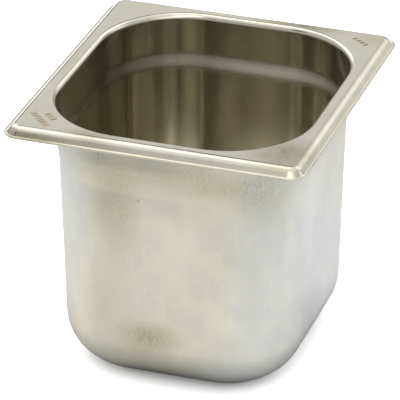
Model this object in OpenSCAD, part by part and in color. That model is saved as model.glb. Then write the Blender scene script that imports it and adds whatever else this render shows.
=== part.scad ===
// Deli food pan: a one-sixth-size steel food pan for a deli or butcher's counter.
// Units are millimetres. X runs left to right, Y front to back, Z up.
// The origin is at the middle of the base, and the pan stands on z = 0.
// The pan is one sheet of stainless steel pressed into shape, so it is one solid.
// Its cross-section is a folded sheet: floor, base bend, tapered wall, stacking
// ledge, upright collar, rolled mouth, flat rim, sloping edge and a thin outer lip.

/* [Overall size] */
// Width across the rim, left to right
pan_width = 162; // [150:0.5:180]
// Depth across the rim, front to back
pan_depth = 176; // [160:0.5:190]
// Height from the base to the top of the rim
pan_height = 150; // [100:1:200]
// Thickness of the steel sheet
sheet = 0.8; // [0.6:0.1:1.2]

/* [Rim] */
// Width of the rim, from its outer edge to the inside of the collar
rim_width = 12.8; // [11:0.1:18]
// Outer corner radius of the rim
rim_corner = 9; // [7:0.5:14]
// How far the outer lip lies below the top of the rim
lip_drop = 4.1; // [2:0.1:8]
// Width of the outer lip
lip_width = 1.3; // [1.1:0.1:2]
// Horizontal run of the sloping edge between rim and lip
slope_run = 3.4; // [2:0.1:4]
// Bend radius where the flat rim turns into the sloping edge
ridge_bend = 1.6; // [1:0.1:2]
// Bend radius where the sloping edge turns into the lip
lip_bend = 1.4; // [1:0.1:2]

/* [Well] */
// Plan radius of the inside corners, at the collar
well_corner = 45.2; // [30:0.2:55]
// Radius of the rolled edge round the mouth, on its upper face
mouth_radius = 3; // [2:0.1:4]
// How far the middle of the stacking ledge lies below the top of the rim
ledge_depth = 26.5; // [20:0.5:50]
// Height over which the ledge steps in
ledge_height = 8; // [5:0.5:12]
// How far the ledge steps in
ledge_step = 1.5; // [0.5:0.1:3]
// Bend radius at the top and foot of the ledge, as far as the ledge has room for it
ledge_bend = 16; // [4:1:40]
// Taper of the wall below the ledge, in degrees
wall_taper = 1.65; // [0:0.05:4]
// Outside radius of the bend between wall and floor
base_radius = 27; // [10:0.5:30]

/* [Detail] */
// Largest angle that one facet of a curve covers, in degrees
facet_angle = 5; // [3:1:15]

/* [Hidden] */
$fa = facet_angle;
$fs = 0.3;
half = sheet / 2;
rim_mid = pan_height - half;
ceiling = pan_height + 2;

// Corner axes: the well's corners turn about these points, and the lip's about the others.
well_x = pan_width / 2 - rim_width - well_corner;
well_y = pan_depth / 2 - rim_width - well_corner;
lip_x = pan_width / 2 - rim_corner;
lip_y = pan_depth / 2 - rim_corner;

// Places along the middle of the sheet, as distance out from a corner axis and height.
collar = well_corner + half;
ledge_foot = pan_height - ledge_depth - ledge_height / 2;
ledge_top = ledge_foot + ledge_height;
wall_top = collar - ledge_step;
wall_foot = wall_top - (ledge_foot - half) * tan(wall_taper);
ledge_slope = atan(ledge_step / ledge_height);
ledge_room = norm([ledge_step, ledge_height])
    / (tan(abs(ledge_slope - wall_taper) / 2) + tan(ledge_slope / 2));
ledge_round = min(ledge_bend, 0.9 * ledge_room);
mouth_end = well_corner + mouth_radius + 0.6;
slope_foot = rim_corner - lip_width;
slope_top = slope_foot - slope_run;
lip_mid = rim_mid - lip_drop;
ridge_start = slope_top - 1.2;

// Folds of the sheet: distance out, height, bend radius of the middle of the sheet.
well_folds = [
    [0, half, 0],
    [wall_foot, half, base_radius - half],
    [wall_top, ledge_foot, ledge_round],
    [collar, ledge_top, ledge_round],
    [collar, rim_mid, mouth_radius - half],
    [mouth_end, rim_mid, 0]
];
lip_folds = [
    [ridge_start, rim_mid, 0],
    [slope_top, rim_mid, ridge_bend],
    [slope_foot, lip_mid, lip_bend],
    [rim_corner, lip_mid, 0]
];

// Place, direction and turn of each straight run in a list of folds.
function spot(folds, i) = [folds[i][0], folds[i][1]];
function run(folds, i) = spot(folds, i + 1) - spot(folds, i);
function heading(folds, i) = atan2(run(folds, i).y, run(folds, i).x);
function turn(folds, i) = heading(folds, i) - heading(folds, i - 1);
function along(angle) = [cos(angle), sin(angle)];

// Centre of a bend, and the radius of its arc on a face that lies `shift` to the left.
function centre(folds, i) =
    let (before = heading(folds, i - 1), side = sign(turn(folds, i)))
    spot(folds, i) - folds[i][2] * tan(abs(turn(folds, i)) / 2) * along(before)
        + folds[i][2] * side * along(before + 90);
function arc_radius(folds, i, shift) = folds[i][2] - shift * sign(turn(folds, i));

// Where that arc meets the straight run numbered `of_run`.
function arc_end(folds, i, of_run, shift) =
    centre(folds, i) + arc_radius(folds, i, shift)
        * along(heading(folds, of_run) - 90 * sign(turn(folds, i)));

// The slice of a disc that a bend covers.
module bend_slice(folds, i, shift) {
    radius = arc_radius(folds, i, shift);
    from = heading(folds, i - 1) - 90 * sign(turn(folds, i));
    to = heading(folds, i) - 90 * sign(turn(folds, i));
    translate(centre(folds, i))
        intersection() {
            circle(radius);
            polygon([[0, 0], 2 * radius * along(from), 2 * radius * along(to)]);
        }
}

// Everything above one face of the sheet. `shift` picks the face, and `past` runs the
// shape on beyond both ends of the folds.
module above(folds, shift, past) {
    last = len(folds) - 1;
    start = spot(folds, 0) + [-past, shift];
    end = spot(folds, last) + [past, shift];
    corners = [
        for (i = [1 : last - 1])
            for (of_run = [i - 1, i])
                arc_end(folds, i, of_run, shift)
    ];
    lid = [[end.x, ceiling + past], [start.x, ceiling + past]];
    difference() {
        union() {
            polygon(concat([start], corners, [end], lid));
            for (i = [1 : last - 1])
                if (turn(folds, i) > 0)
                    bend_slice(folds, i, shift);
        }
        for (i = [1 : last - 1])
            if (turn(folds, i) < 0)
                bend_slice(folds, i, shift);
    }
}

// The cross-section of the sheet that a list of folds describes.
module folded_sheet(folds) {
    difference() {
        above(folds, -half, 0);
        above(folds, half, 1);
    }
}

// Carries a cross-section round four corner axes at [+-x, +-y].
module carry_round(x, y) {
    for (side = [0 : 3]) {
        out = side % 2 == 0 ? x : y;
        across = side % 2 == 0 ? y : x;
        rotate(90 * side)
            translate([out, across, 0]) {
                rotate_extrude(angle = 90)
                    children();
                rotate([90, 0, 0])
                    linear_extrude(2 * across)
                        children();
            }
    }
}

// A flat shape with four rounded corners about the axes at [+-x, +-y].
module rounded(x, y, radius) {
    square([2 * (x + radius), 2 * y], center = true);
    square([2 * x, 2 * (y + radius)], center = true);
    for (side = [-1, 1])
        for (end = [-1, 1])
            translate([side * x, end * y])
                circle(radius);
}

// The flat top of the rim, between the rolled mouth and the sloping edge.
module rim_flat() {
    translate([0, 0, pan_height - sheet])
        linear_extrude(sheet)
            difference() {
                rounded(lip_x, lip_y, ridge_start);
                rounded(well_x, well_y, mouth_end);
            }
}

// The middle of the floor, inside the well's four corner axes.
module floor_flat() {
    translate([-well_x, -well_y, 0])
        cube([2 * well_x, 2 * well_y, sheet]);
}

// The pressed pan.
module pan() {
    color([0.72, 0.69, 0.61])
        union() {
            carry_round(well_x, well_y)
                folded_sheet(well_folds);
            carry_round(lip_x, lip_y)
                folded_sheet(lip_folds);
            rim_flat();
            floor_flat();
        }
}

pan();
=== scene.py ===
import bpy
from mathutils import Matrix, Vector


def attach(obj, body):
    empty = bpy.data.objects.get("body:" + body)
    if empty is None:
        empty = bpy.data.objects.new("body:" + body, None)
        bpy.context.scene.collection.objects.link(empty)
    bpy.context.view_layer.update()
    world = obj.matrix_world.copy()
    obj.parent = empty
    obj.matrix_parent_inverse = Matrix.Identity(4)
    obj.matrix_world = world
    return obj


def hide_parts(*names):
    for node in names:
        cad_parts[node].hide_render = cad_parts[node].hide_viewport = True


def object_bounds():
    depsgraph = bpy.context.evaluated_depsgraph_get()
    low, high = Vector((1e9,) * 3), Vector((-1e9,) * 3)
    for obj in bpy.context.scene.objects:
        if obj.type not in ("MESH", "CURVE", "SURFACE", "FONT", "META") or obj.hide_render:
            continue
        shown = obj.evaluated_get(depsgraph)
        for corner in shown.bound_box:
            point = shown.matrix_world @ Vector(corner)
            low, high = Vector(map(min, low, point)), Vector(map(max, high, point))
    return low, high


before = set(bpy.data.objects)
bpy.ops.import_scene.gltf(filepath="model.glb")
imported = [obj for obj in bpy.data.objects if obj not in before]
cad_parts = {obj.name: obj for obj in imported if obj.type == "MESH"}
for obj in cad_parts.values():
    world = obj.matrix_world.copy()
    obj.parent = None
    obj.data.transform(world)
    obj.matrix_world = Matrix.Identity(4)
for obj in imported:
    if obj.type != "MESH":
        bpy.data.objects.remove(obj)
cad_box = [[float(v) for v in corner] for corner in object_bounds()]

import math

import bpy
from mathutils import Vector

# A deli food pan of satin steel: one closed mesh of the folded sheet, which stands for the CAD's pan, on a
# white floor in a white room. Sizes and places on the pan are in millimetres, and MM turns them into metres.
scene = bpy.context.scene
MM = 0.001

# ---------------------------------------------------------------- the pan's sizes
# The overall size comes from the CAD box. The rest repeats part.scad's sizes.
WIDTH, DEPTH, HEIGHT = (round((high - low) / MM, 3) for low, high in zip(*cad_box))
SHEET = 0.8
RIM_WIDTH = 12.8
RIM_CORNER = 9.0
WELL_CORNER = 45.2
MOUTH_RADIUS = 3.0
LEDGE_DEPTH = 26.5
LEDGE_HEIGHT = 8.0
LEDGE_STEP = 1.5
LEDGE_BEND = 16.0
WALL_TAPER = math.radians(1.65)
BASE_RADIUS = 27.0
LIP_DROP = 4.1
LIP_WIDTH = 1.3
SLOPE_RUN = 3.4
LIP_BEND = 1.4
PAST_MOUTH = 0.6

# The mesh's own: the loop that the floor starts from, and the level run before the sloping edge.
FLOOR_START = 9.0
BEFORE_RIDGE = 2.6

# Softer than in the CAD: the ledge as the outside shows it, and the bend at the top of the sloping edge.
SOFT_LEDGE_FOOT = 116.0
SOFT_LEDGE_TOP = 131.0
SOFT_BEND = 46.0
RIDGE_BEND = 5.2

# The well's corners turn about the points at [+-x, +-y] of one axis, and the lip's about the other's.
WELL_AXIS = (WIDTH / 2 - RIM_WIDTH - WELL_CORNER, DEPTH / 2 - RIM_WIDTH - WELL_CORNER)
LIP_AXIS = (WIDTH / 2 - RIM_CORNER, DEPTH / 2 - RIM_CORNER)

# Places along the sheet's middle surface, as distance out from a corner axis and height.
HALF = SHEET / 2
RIM_MID = HEIGHT - HALF
COLLAR = WELL_CORNER + HALF
LEDGE_FOOT = HEIGHT - LEDGE_DEPTH - LEDGE_HEIGHT / 2
WALL_TOP = COLLAR - LEDGE_STEP
WALL_FOOT = WALL_TOP - (LEDGE_FOOT - HALF) * math.tan(WALL_TAPER)
MOUTH_END = WELL_CORNER + MOUTH_RADIUS + PAST_MOUTH
SLOPE_FOOT = RIM_CORNER - LIP_WIDTH
SLOPE_TOP = SLOPE_FOOT - SLOPE_RUN
LIP_MID = RIM_MID - LIP_DROP

# Folds of the sheet: distance out, height, bend radius.
FLOOR_FOLDS = [(FLOOR_START, HALF, 0.0), (WALL_FOOT, HALF, BASE_RADIUS - HALF)]
LEDGE_FOLDS = [(WALL_TOP, LEDGE_FOOT, LEDGE_BEND), (COLLAR, LEDGE_FOOT + LEDGE_HEIGHT, LEDGE_BEND)]
SOFT_LEDGE_FOLDS = [(WALL_TOP - 0.1, SOFT_LEDGE_FOOT, SOFT_BEND), (COLLAR, SOFT_LEDGE_TOP, SOFT_BEND)]
MOUTH_FOLDS = [(COLLAR, RIM_MID, MOUTH_RADIUS - HALF), (MOUTH_END, RIM_MID, 0.0)]
INSIDE_FOLDS = FLOOR_FOLDS + LEDGE_FOLDS + MOUTH_FOLDS
OUTSIDE_FOLDS = FLOOR_FOLDS + SOFT_LEDGE_FOLDS + MOUTH_FOLDS
LIP_FOLDS = [
    (SLOPE_TOP - BEFORE_RIDGE, RIM_MID, 0.0),
    (SLOPE_TOP, RIM_MID, RIDGE_BEND),
    (SLOPE_FOOT, LIP_MID, LIP_BEND),
    (RIM_CORNER, LIP_MID, 0.0),
]

# How finely the mesh follows the shape: millimetres along straight runs, degrees round bends.
WALL_PITCH = 5.0
LIP_PITCH = 0.8
INSIDE_ARC = 6.0
OUTSIDE_ARC = 1.5
LIP_ARC = 11.0
CORNER_STEPS = 26
SIDE_STEPS = (14, 18)

# How far the mouth's brighter bend reaches, out from the collar and down from the rim.
MOUTH_OUT = 2.5
MOUTH_DOWN = 3.0


# ---------------------------------------------------------------- the folded sheet's cross-section
def straight(start, end, pitch):
    """Points with their left-hand normals along a straight run."""
    length = math.dist(start, end)
    if length < 1e-9:
        return []
    run, rise = end[0] - start[0], end[1] - start[1]
    normal = (-rise / length, run / length)
    count = max(1, round(length / pitch))
    steps = [i / count for i in range(count + 1)]
    return [((start[0] + run * t, start[1] + rise * t), normal) for t in steps]


def bend(before, fold, after, arc_step):
    """Where the bend at a fold starts, and the points with their left-hand normals round it."""
    x, z, radius = fold
    heading = math.atan2(z - before[1], x - before[0])
    next_heading = math.atan2(after[1] - z, after[0] - x)
    turn = (next_heading - heading + math.pi) % (2 * math.pi) - math.pi
    reach = radius * math.tan(abs(turn) / 2)
    start = (x - reach * math.cos(heading), z - reach * math.sin(heading))
    signed = math.copysign(radius, turn)
    centre = (start[0] - signed * math.sin(heading), start[1] + signed * math.cos(heading))
    fewest = 5 if radius > 10 else 3
    count = max(fewest, math.ceil(abs(turn) / math.radians(arc_step)))
    arc = []
    for i in range(1, count + 1):
        angle = heading + turn * i / count
        point = (centre[0] + signed * math.sin(angle), centre[1] - signed * math.cos(angle))
        arc.append((point, (-math.sin(angle), math.cos(angle))))
    return start, arc


def path(folds, pitch, arc_step):
    """Points with their left-hand normals along the folds, straight runs and bends alike."""
    points = []
    here = folds[0][:2]
    for before, fold, after in zip(folds, folds[1:], folds[2:]):
        start, arc = bend(before, fold, after, arc_step)
        points += straight(here, start, pitch) + arc
        here = arc[-1][0]
    points += straight(here, folds[-1][:2], pitch)
    new_places = [b for a, b in zip(points, points[1:]) if math.dist(a[0], b[0]) > 1e-6]
    return points[:1] + new_places


# ---------------------------------------------------------------- loops round the pan
def loop(axis, radius):
    """Places and outward directions round the pan, anticlockwise from the back of the right side."""
    corners = ((1, 1), (-1, 1), (-1, -1), (1, -1))
    points = []
    for quarter, (side_x, side_y) in enumerate(corners):
        for i in range(CORNER_STEPS + 1):
            angle = math.radians(90 * quarter + 90 * i / CORNER_STEPS)
            out_x, out_y = math.cos(angle), math.sin(angle)
            x, y = side_x * axis[0] + radius * out_x, side_y * axis[1] + radius * out_y
            points.append((x, y, out_x, out_y))
        # from this corner's last point along the side to the next corner
        next_x, next_y = corners[(quarter + 1) % 4]
        run_x, run_y = (next_x - side_x) * axis[0], (next_y - side_y) * axis[1]
        count = SIDE_STEPS[quarter % 2]
        for i in range(1, count):
            points.append((x + run_x * i / count, y + run_y * i / count, out_x, out_y))
    return points


def lay(axis, point, normal, shift):
    """The loop with its normals on one face, which lies shift from a point of the middle surface."""
    side = math.copysign(1, shift)
    radius, z = point[0] + normal[0] * shift, point[1] + normal[1] * shift
    out, up = normal[0] * side, normal[1] * side
    return [((x, y, z), (out_x * out, out_y * out, up)) for x, y, out_x, out_y in loop(axis, radius)]


def level_rows(first, last, up):
    """Four loops spread evenly between two loops of a level face."""
    rows = []
    for t in (0.2, 0.4, 0.6, 0.8):
        places = [[a * (1 - t) + b * t for a, b in zip(p, q)] for (p, _), (q, _) in zip(first, last)]
        rows.append([(place, (0, 0, up)) for place in places])
    return rows


def lip_edge(radius, height):
    """Two loops round the cut edge of the lip, whose corners are just broken."""
    reach, out, up = 0.18, 0.94, 0.34
    return [
        [((x, y, height + side * reach), (out_x * out, out_y * out, side * up))
         for x, y, out_x, out_y in loop(LIP_AXIS, radius)]
        for side in (1, -1)
    ]


def upper_finish(point):
    """The finish at a point of the upper face: the inside, the mouth's bend or the rim's plate."""
    if point[1] < HEIGHT - MOUTH_DOWN:
        return "inside"
    return "bend" if point[0] < COLLAR + MOUTH_OUT else "plate"


def pan_rows():
    """Finishes and loops from the middle of the floor up the inside, over the lip and down the outside."""
    inside = path(INSIDE_FOLDS, WALL_PITCH, INSIDE_ARC)
    outside = path(OUTSIDE_FOLDS, WALL_PITCH, OUTSIDE_ARC)
    lip = path(LIP_FOLDS, LIP_PITCH, LIP_ARC)

    rows = [(upper_finish(point), lay(WELL_AXIS, point, normal, HALF)) for point, normal in inside]
    lip_top = [lay(LIP_AXIS, point, normal, HALF) for point, normal in lip]
    rim_top = level_rows(rows[-1][1], lip_top[0], 1)
    rows += [("plate", row) for row in rim_top + lip_top]

    lip_under = [lay(LIP_AXIS, point, normal, -HALF) for point, normal in reversed(lip)]
    outer = [lay(WELL_AXIS, point, normal, -HALF) for point, normal in reversed(outside)]
    rim_under = level_rows(lip_under[-1], outer[0], -1)
    rows += [("bend", row) for row in lip_edge(*lip[-1][0]) + lip_under + rim_under]
    rows += [("outside", row) for row in outer]
    return rows


def closed_mesh(name, rows, finishes):
    """One closed mesh through the loops, with the first and the last loop filled."""
    slot = {finish: number for number, finish in enumerate(finishes)}
    count = len(rows[0][1])
    last_row = (len(rows) - 1) * count
    places = [[c * MM for c in place] for _, row in rows for place, _ in row]
    normals = [tuple(Vector(normal).normalized()) for _, row in rows for _, normal in row]
    faces, slots = [], []
    for i, (finish, _) in enumerate(rows[:-1]):
        below, above = i * count, (i + 1) * count
        for j in range(count):
            k = (j + 1) % count
            faces.append((above + j, above + k, below + k, below + j))
            slots.append(slot[finish])
    faces.append(tuple(range(count)))
    slots.append(slot[rows[0][0]])
    faces.append(tuple(reversed(range(last_row, last_row + count))))
    slots.append(slot[rows[-1][0]])

    mesh = bpy.data.meshes.new(name)
    mesh.from_pydata(places, [], faces)
    mesh.update()
    for make_material in finishes.values():
        mesh.materials.append(make_material())
    mesh.polygons.foreach_set("material_index", slots)
    mesh.polygons.foreach_set("use_smooth", [True] * len(faces))
    mesh.normals_split_custom_set_from_vertices(normals)
    return mesh


# ---------------------------------------------------------------- node trees
class Graph:
    """A node tree with short calls for the nodes used here."""

    def __init__(self, tree):
        self.tree = tree
        tree.nodes.clear()

    def new(self, kind):
        return self.tree.nodes.new(kind)

    def put(self, value, socket):
        """Links a socket, or sets a plain value."""
        if isinstance(value, bpy.types.NodeSocket):
            self.tree.links.new(value, socket)
        else:
            socket.default_value = value

    def math(self, operation, a, b=0.0):
        node = self.new("ShaderNodeMath")
        node.operation = operation
        self.put(a, node.inputs[0])
        self.put(b, node.inputs[1])
        return node.outputs[0]

    def add(self, first, *others):
        for other in others:
            first = self.math("ADD", first, other)
        return first

    def times(self, first, *others):
        for other in others:
            first = self.math("MULTIPLY", first, other)
        return first

    def ramp(self, value, low, high, at_low, at_high, smooth=False):
        """A value that goes from at_low to at_high while the input goes from low to high."""
        node = self.new("ShaderNodeMapRange")
        node.interpolation_type = "SMOOTHSTEP" if smooth else "LINEAR"
        self.put(value, node.inputs["Value"])
        limits = {"From Min": low, "From Max": high, "To Min": at_low, "To Max": at_high}
        for name, limit in limits.items():
            node.inputs[name].default_value = limit
        return node.outputs[0]

    def vector(self, operation, a, b):
        node = self.new("ShaderNodeVectorMath")
        node.operation = operation
        self.put(a, node.inputs[0])
        self.put(b, node.inputs[1])
        return node

    def dot(self, a, b):
        """How far one vector reaches along another."""
        return self.vector("DOT_PRODUCT", a, b).outputs["Value"]

    def length(self, a):
        return self.vector("LENGTH", a, (0, 0, 0)).outputs["Value"]

    def scaled(self, colour, amount):
        node = self.new("ShaderNodeVectorMath")
        node.operation = "SCALE"
        self.put(colour, node.inputs[0])
        self.put(amount, node.inputs["Scale"])
        return node.outputs[0]

    def parts(self, vector):
        node = self.new("ShaderNodeSeparateXYZ")
        self.put(vector, node.inputs[0])
        return node.outputs

    def mix(self, amount, a, b):
        """Colour a where the amount is 0 and colour b where it is 1, and on past them."""
        node = self.new("ShaderNodeMix")
        node.data_type = "RGBA"
        node.clamp_factor = False
        self.put(amount, node.inputs["Factor"])
        for colour, socket in ((a, node.inputs["A"]), (b, node.inputs["B"])):
            self.put(colour if isinstance(colour, bpy.types.NodeSocket) else (*colour, 1), socket)
        return node.outputs["Result"]

    def moved(self, place, scale, location):
        """A place times a scale, plus a location."""
        node = self.new("ShaderNodeMapping")
        node.inputs["Scale"].default_value = scale
        node.inputs["Location"].default_value = location
        self.put(place, node.inputs["Vector"])
        return node.outputs[0]

    def noise(self, place, scale, detail=3.0, rough=0.5, location=(0, 0, 0)):
        """Noise with the given number of spots per metre along each axis."""
        node = self.new("ShaderNodeTexNoise")
        node.inputs["Scale"].default_value = 1.0
        node.inputs["Detail"].default_value = detail
        node.inputs["Roughness"].default_value = rough
        self.put(self.moved(place, scale, location), node.inputs["Vector"])
        return node.outputs["Fac"]

    def patch(self, place, centre, size):
        """1 in the middle of a soft ellipsoid (mm), falling to 0 at its edge."""
        scale = [1 / (MM * reach) for reach in size]
        location = [-at / reach for at, reach in zip(centre, size)]
        return self.ramp(self.length(self.moved(place, scale, location)), 0.0, 1.0, 1.0, 0.0, smooth=True)

    def band(self, value, middle, half, soft):
        """1 within half of the middle and 0 outside, with soft edges."""
        off = self.math("ABSOLUTE", self.math("SUBTRACT", value, middle))
        return self.ramp(off, half - soft, half + soft, 1.0, 0.0)

    def steps(self, value, table):
        """A value that runs straight from one stated pair (input, output) to the next."""
        total = table[0][1]
        for (start, low), (end, high) in zip(table, table[1:]):
            total = self.add(total, self.ramp(value, start, end, 0.0, high - low))
        return total


# ---------------------------------------------------------------- steel
TINT = (0.665, 0.636, 0.548)
# The colour that stains lean towards, and the painted shade and painted reflections of the darker places
# too.
STAIN_AND_SHADE_TINT = (0.680, 0.645, 0.490)
# The inside's darker, greyer colour is painted shade for the inside of the pan.
INSIDE_SHADED_TINT = (0.585, 0.562, 0.470)
ETCHED = (0.34, 0.22, 0.07)
QUARTER_TURN = 0.25

# Lines and grain of the surface, in spots per metre: drawn upwards on the walls, all ways on the rim.
DRAWN_LINES = (620, 620, 11)
DRAWN_GRAIN = (2300, 2300, 500)
ROLLED_LINES = (240, 240, 240)
ROLLED_GRAIN = (1900, 1900, 1900)

# Darker places on the outside, listed: centre, reach (both mm), darker by, rougher by. The wide ring at 131
# mm is painted shade under the rim, the blotches are painted dark reflections along with smudges, and the
# four thinnest are scratches.
OUTSIDE_WEAR_AND_PAINTED_SHADE = (
    ((0.0, 0.0, 131.0), (500, 500, 21), 0.17, 0.01),
    ((55.0, -70.0, 120.0), (21, 30, 25), 0.30, 0.04),
    ((30.0, -76.0, 126.0), (34, 12, 9), 0.10, 0.02),
    ((-23.0, -74.0, 104.0), (18, 12, 44), 0.19, 0.03),
    ((-32.0, -74.0, 50.0), (18, 20, 34), 0.13, 0.02),
    ((-6.0, -71.0, 32.5), (26, 20, 14), 0.32, 0.03),
    ((-14.0, -71.0, 24.0), (26, 20, 9), 0.07, 0.0),
    ((48.0, -72.0, 62.0), (16, 20, 30), 0.05, 0.0),
    ((-66.0, -52.0, 75.0), (20, 20, 60), 0.06, 0.0),
    ((-10.9, -75.0, 113.1), (1.3, 4, 0.8), 0.55, 0.0),
    ((-32.0, -76.0, 137.0), (0.6, 4, 11), 0.35, 0.0),
    ((51.0, -74.0, 124.0), (0.5, 5, 12), 0.20, 0.0),
    ((54.0, -74.0, 120.0), (0.4, 5, 9), 0.16, 0.0),
)
# Darker places on the flat rim, listed the same way: they are painted dark reflections, and a little
# rougher.
RIM_DULLING_AND_PAINTED_REFLECTIONS = (
    ((-64.0, -87.0, 147.0), (34, 5, 4), 0.40, 0.04),
    ((28.0, 82.0, 150.0), (34, 16, 9), 0.46, 0.05),
    ((66.0, -70.0, 150.0), (26, 26, 9), 0.36, 0.05),
    ((-34.0, -81.0, 150.0), (22, 8, 9), 0.26, 0.03),
    ((-76.0, 5.0, 150.0), (8, 30, 9), 0.08, 0.02),
    ((70.0, 76.0, 150.0), (16, 16, 9), 0.10, 0.02),
)


class Steel(Graph):
    """A steel finish, built up in steps: clouds and lines, then darker places (wear, smudges, painted shade
    and painted reflections), marks and bumps.

    Noise lies mostly between 0.3 and 0.7, so the ramps over it start from there.
    """

    def __init__(self, name, tone, streak, cloud_size=40.0, lines=DRAWN_LINES, grain=DRAWN_GRAIN):
        self.material = bpy.data.materials.new(name)
        self.material.use_nodes = True
        super().__init__(self.material.node_tree)
        self.place = self.new("ShaderNodeTexCoord").outputs["Object"]

        spots = 1 / (MM * cloud_size)
        self.cloud = self.noise(self.place, (spots, spots, 0.7 * spots))
        self.mottle = self.noise(
            self.place, (4 * spots, 4 * spots, 3 * spots), detail=2.0, location=(3.1, 1.7, 0.4))
        self.lines = self.noise(self.place, lines, rough=0.6)
        self.grain = self.noise(self.place, grain, detail=1.0)

        self.shade = self.add(
            self.ramp(self.cloud, 0.28, 0.72, -tone, tone),
            self.ramp(self.mottle, 0.3, 0.7, -0.45 * tone, 0.45 * tone),
            self.ramp(self.lines, 0.3, 0.7, -streak, streak),
            1.0,
        )
        self.rougher = self.add(
            self.ramp(self.cloud, 0.28, 0.72, -0.03, 0.03),
            self.ramp(self.lines, 0.3, 0.7, -0.4 * streak, 0.4 * streak),
        )
        self.stain_and_shade_tint = self.ramp(self.mottle, 0.35, 0.75, 0.2, 0.6)

    def paint_wear_and_shade(self, places):
        """Darkens, tints and roughens the steel at each listed place, in a broken-up pattern: wear, smudges
        and scratches, and painted shade and painted reflections.
        """
        for centre, size, darker, rougher in places:
            soft = self.patch(self.place, centre, size)
            wear_and_shade = self.times(
                soft,
                self.ramp(self.mottle, 0.35, 0.65, 0.75, 1.15),
                self.ramp(self.lines, 0.3, 0.7, 0.85, 1.15),
                self.ramp(self.grain, 0.3, 0.7, 0.6, 1.4),
            )
            left = self.math("SUBTRACT", 1.0, self.times(wear_and_shade, darker))
            self.shade = self.times(self.shade, left)
            self.rougher = self.add(self.rougher, self.times(soft, rougher))
            self.stain_and_shade_tint = self.add(self.stain_and_shade_tint, self.times(wear_and_shade, 3.0 * darker))

    def scuff_and_painted_highlight(self, height, half, soft, rougher, lighter):
        """A rougher ring where stacked pans have rubbed, whose lighter colour is a painted highlight of the
        ledge's bright band. It is weaker on the left.
        """
        x, _, z = self.parts(self.place)
        ring = self.times(
            self.band(self.times(z, 1 / MM), height, half, soft),
            self.ramp(x, -0.048, 0.0, 0.3, 1.0, smooth=True),
        )
        self.rougher = self.add(self.rougher, self.times(ring, rougher))
        self.shade = self.times(self.shade, self.add(1.0, self.times(ring, lighter)))

    def along(self, centre, way):
        """Millimetres along a direction from a point on the rim."""
        start = sum(at * step for at, step in zip(centre, way))
        return self.math("SUBTRACT", self.times(self.dot(self.place, way), 1 / MM), start)

    def strokes(self, centre, way, rows, tall):
        """Rows of plain etched strokes. A row is its place across, its reach each way and its spacing."""
        u = self.along(centre, way)
        v = self.along(centre, (-way[1], way[0], 0.0))
        total = 0.0
        for middle, reach, pitch in rows:
            # counted from well to the left of the row, so that it is positive all along
            counted = self.add(u, 100.5 * pitch)
            off_stroke = self.math("PINGPONG", counted, pitch / 2)
            stroke = self.ramp(off_stroke, 0.20 * pitch, 0.32 * pitch, 1.0, 0.0)
            row = self.times(self.band(v, middle, tall / 2, 0.12), self.band(u, 0.0, reach, 0.05), stroke)
            total = self.math("MAXIMUM", total, row)
        return total

    def colour(self, clean, stained):
        """The steel's colour, from clean to the stain and shade tint, lighter and darker as the shade says,
        painted shade and painted reflections included.
        """
        tint = self.mix(self.math("MINIMUM", self.stain_and_shade_tint, 1.4), clean, stained)
        return self.scaled(tint, self.shade)

    def finish(self, colour, roughness, bumps=(), pull=0.0):
        """Joins all to the shader. The bumps are pairs of a height and its depth in mm."""
        output, shader = self.new("ShaderNodeOutputMaterial"), self.new("ShaderNodeBsdfPrincipled")
        self.put(shader.outputs[0], output.inputs[0])
        shader.inputs["Metallic"].default_value = 1.0
        shader.inputs["Anisotropic"].default_value = pull
        shader.inputs["Anisotropic Rotation"].default_value = QUARTER_TURN
        self.put(colour, shader.inputs["Base Color"])
        self.put(self.add(self.rougher, roughness), shader.inputs["Roughness"])
        for height, depth in bumps:
            bump = self.new("ShaderNodeBump")
            bump.inputs["Strength"].default_value = 1.0
            bump.inputs["Distance"].default_value = depth * MM
            self.put(height, bump.inputs["Height"])
            if shader.inputs["Normal"].is_linked:
                self.put(shader.inputs["Normal"].links[0].from_socket, bump.inputs["Normal"])
            self.put(bump.outputs[0], shader.inputs["Normal"])
        return self.material


def steel_outside():
    """Satin walls with clouds, fine lines upwards, scratches, and darker places: a ring of painted shade
    under the rim, and blotches that are painted dark reflections along with smudges.
    """
    steel = Steel("steel_outside", tone=0.085, streak=0.017)
    steel.paint_wear_and_shade(OUTSIDE_WEAR_AND_PAINTED_SHADE)
    bumps = ((steel.grain, 0.0004), (steel.lines, 0.0003), (steel.cloud, 0.08))
    return steel.finish(steel.colour(TINT, STAIN_AND_SHADE_TINT), 0.322, bumps)


def steel_inside():
    """Smoother walls that the drawing has pulled upwards, in a darker colour that is painted shade for the
    inside of the pan, with a rubbed ring on the ledge whose lighter colour is a painted highlight.
    """
    steel = Steel("steel_inside", tone=0.03, streak=0.010)
    steel.scuff_and_painted_highlight(HEIGHT - LEDGE_DEPTH - 0.6, half=3.4, soft=3.0, rougher=0.28, lighter=0.36)
    return steel.finish(steel.colour(INSIDE_SHADED_TINT, INSIDE_SHADED_TINT), 0.19, pull=0.6)


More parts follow.
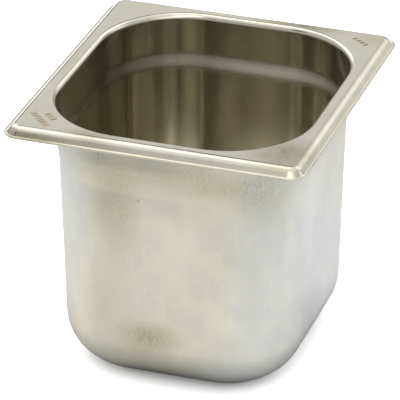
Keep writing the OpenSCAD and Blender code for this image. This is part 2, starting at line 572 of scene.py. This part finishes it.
def steel_plate():
    """The flat rim, with darker places that are painted dark reflections, a little rougher there, and two
    groups of strokes in the front left and back right corners.
    """
    steel = Steel("steel_plate", 0.05, 0.02, 25.0, ROLLED_LINES, ROLLED_GRAIN)
    steel.paint_wear_and_shade(RIM_DULLING_AND_PAINTED_REFLECTIONS)
    front_left = (18.2 - WIDTH / 2, 18.4 - DEPTH / 2, 0.0)
    back_right = (WIDTH / 2 - 16.8, DEPTH / 2 - 17.4, 0.0)
    marks = steel.math(
        "MAXIMUM",
        steel.strokes(front_left, (-0.7071, 0.7071, 0.0), ((-3.4, 4.6, 2.3), (2.8, 9.0, 2.0)), 3.6),
        steel.strokes(back_right, (0.78, -0.62, 0.0), ((0.0, 6.2, 3.1),), 3.0),
    )
    marks = steel.times(marks, steel.ramp(steel.mottle, 0.3, 0.6, 0.55, 1.0))
    colour = steel.mix(marks, steel.colour(TINT, STAIN_AND_SHADE_TINT), ETCHED)
    bumps = ((steel.lines, 0.0003), (steel.cloud, 0.02))
    return steel.finish(colour, 0.19, bumps)


def steel_bend():
    """The mouth's bend, the lip's edge and the rim's underside, smoother than the rest."""
    steel = Steel("steel_bend", 0.03, 0.02, 25.0, ROLLED_LINES, ROLLED_GRAIN)
    return steel.finish(steel.colour(TINT, STAIN_AND_SHADE_TINT), 0.12)


FINISHES = {
    "outside": steel_outside,
    "inside": steel_inside,
    "plate": steel_plate,
    "bend": steel_bend,
}

pan = bpy.data.objects.new("pan_shell", closed_mesh("pan_shell", pan_rows(), FINISHES))
scene.collection.objects.link(pan)
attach(pan, "root")
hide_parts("pan")

# ---------------------------------------------------------------- floor and light
# A white room lights the floor evenly. What the steel mirrors is the room's soft panels and a floor that is
# brighter close to the pan, so it has a floor of its own just under the one that the camera sees.
EVEN = 4.0
DIMMEST = 0.05
PALE = (0.7, 0.7, 0.7, 1)
JUST_UNDER = -0.0003
ROOM = (  # height in degrees, strength
    (0, 0.5),
    (14, 0.55),
    (26, 0.85),
    (38, 0.8),
    (50, 0.9),
    (66, 1.3),
    (90, 1.5),
)
PANELS = (  # compass and height in degrees, reach in degrees, strength added or taken away
    (65, 40, 24, 1.4),
    (136, 32, 22, 1.5),
    (130, 60, 26, 1.2),
    (108, 20, 17, 0.36),
    (66, 12, 16, 0.6),
    (270, 54, 24, 1.4),
    (304, 34, 28, 0.9),
    (24, 26, 18, 0.8),
    (110, 41, 13, -1.1),
    (240, 46, 20, -0.7),
)
# The mirrored floor's strength is painted: darkest within 50 mm of the middle and rising to 75 mm, a painted
# shadow at the pan's foot, then brighter from 110 to 200 mm out.
FLOOR = (  # metres out from the middle, strength
    (0.05, 0.2),
    (0.075, 1.05),
    (0.11, 1.5),
    (0.2, 1.4),
    (0.36, 0.95),
    (0.8, 2.2),
)
# The mirrored floor is duller at the front left (mm), and tinted like daylight at the left and right.
DULL_PLACE = (-450.0, -650.0, 0.0)
DULL_REACH = 600.0
DULL_STRENGTH = -2.0
COOL = (0.96, 1.01, 1.16)
COOL_SHIFT = 0.04  # metres that the cool tint reaches further in on the right than on the left


def direction(compass, tilt):
    """A direction from its angle anticlockwise from the right, seen from above, and its height."""
    return (math.cos(compass) * math.cos(tilt), math.sin(compass) * math.cos(tilt), math.sin(tilt))


def plane(name, height):
    """A wide level plane that casts no shadow and sends no light to matt surfaces."""
    reach = 6.0
    corners = [(x * reach, y * reach, height) for x, y in ((-1, -1), (1, -1), (1, 1), (-1, 1))]
    mesh = bpy.data.meshes.new(name)
    mesh.from_pydata(corners, [], [(0, 1, 2, 3)])
    material = bpy.data.materials.new(name)
    material.use_nodes = True
    mesh.materials.append(material)
    obj = bpy.data.objects.new(name, mesh)
    obj.visible_shadow = False
    obj.visible_diffuse = False
    scene.collection.objects.link(obj)
    return obj, Graph(material.node_tree)


def matt(graph, colour):
    """Joins a colour to a matt shader."""
    output, shader = graph.new("ShaderNodeOutputMaterial"), graph.new("ShaderNodeBsdfDiffuse")
    graph.put(shader.outputs[0], output.inputs[0])
    graph.put(colour, shader.inputs["Color"])


def seen_floor():
    """The plain pale floor."""
    obj, graph = plane("floor", 0.0)
    obj.visible_glossy = False
    matt(graph, PALE)


def mirrored_floor():
    """The floor that only the steel mirrors."""
    obj, graph = plane("floor_mirrored", JUST_UNDER)
    obj.visible_camera = False
    place = graph.new("ShaderNodeNewGeometry").outputs["Position"]
    far = graph.length(place)
    dull = graph.times(graph.patch(place, DULL_PLACE, [DULL_REACH] * 3), DULL_STRENGTH)
    strength = graph.math("MAXIMUM", graph.add(graph.steps(far, FLOOR), dull), DIMMEST)
    sideways = graph.math("ABSOLUTE", graph.add(graph.parts(place)[0], COOL_SHIFT))
    cool = graph.ramp(graph.math("DIVIDE", sideways, far), 0.6, 0.85, 0.0, 1.0, smooth=True)
    tint = graph.mix(cool, (1, 1, 1), COOL)
    matt(graph, graph.scaled(tint, graph.times(strength, 1 / EVEN)))


def studio():
    """The white room: panels for what the steel mirrors, even light for the floors, white for the camera."""
    world = bpy.data.worlds.new("studio")
    scene.world = world
    world.use_nodes = True
    world.cycles.sampling_method = "NONE"
    graph = Graph(world.node_tree)
    output, background = graph.new("ShaderNodeOutputWorld"), graph.new("ShaderNodeBackground")
    graph.put(background.outputs[0], output.inputs[0])
    way = graph.new("ShaderNodeTexCoord").outputs["Generated"]
    height = graph.times(graph.math("ARCSINE", graph.parts(way)[2]), 180 / math.pi)
    mirrored = graph.steps(height, ROOM)
    for compass, tilt, reach, strength in PANELS:
        nearness = graph.dot(way, direction(math.radians(compass), math.radians(tilt)))
        lobe = graph.ramp(nearness, math.cos(math.radians(reach)), 1.0, 0.0, strength, smooth=True)
        mirrored = graph.add(mirrored, lobe)
    ray = graph.new("ShaderNodeLightPath").outputs
    total = graph.add(
        graph.times(graph.math("MAXIMUM", mirrored, DIMMEST), ray["Is Glossy Ray"]),
        graph.times(ray["Is Diffuse Ray"], EVEN),
        ray["Is Camera Ray"],
    )
    graph.put(total, background.inputs["Strength"])


seen_floor()
mirrored_floor()
studio()
scene.view_settings.view_transform = "Standard"
scene.cycles.max_bounces = 24
scene.cycles.glossy_bounces = 20

# ---------------------------------------------------------------- camera
# It looks from the front, slightly from the right and from above, at a point just off the pan's middle.
# Distances are in metres, the sensor and the lens in millimetres.
CAMERA_COMPASS = math.radians(-90 + 18.63)
CAMERA_HEIGHT = math.radians(27.54)
CAMERA_DISTANCE = 1.9269
SENSOR = 36.0
LENS = 326.106
MIDDLE = (Vector(cad_box[0]) + Vector(cad_box[1])) / 2
AIM = MIDDLE + Vector((-0.00192, -0.00148, 0.00419))


def camera():
    """The camera at the photo's viewing angle, with a long lens."""
    back = Vector(direction(CAMERA_COMPASS, CAMERA_HEIGHT))
    data = bpy.data.cameras.new("camera")
    data.sensor_width = SENSOR
    data.lens = LENS
    data.clip_start = 0.05
    data.clip_end = 50
    obj = bpy.data.objects.new("camera", data)
    obj.location = AIM + back * CAMERA_DISTANCE
    obj.rotation_mode = "QUATERNION"
    obj.rotation_quaternion = (-back).to_track_quat("-Z", "Y")
    scene.collection.objects.link(obj)
    return obj


scene.camera = camera()
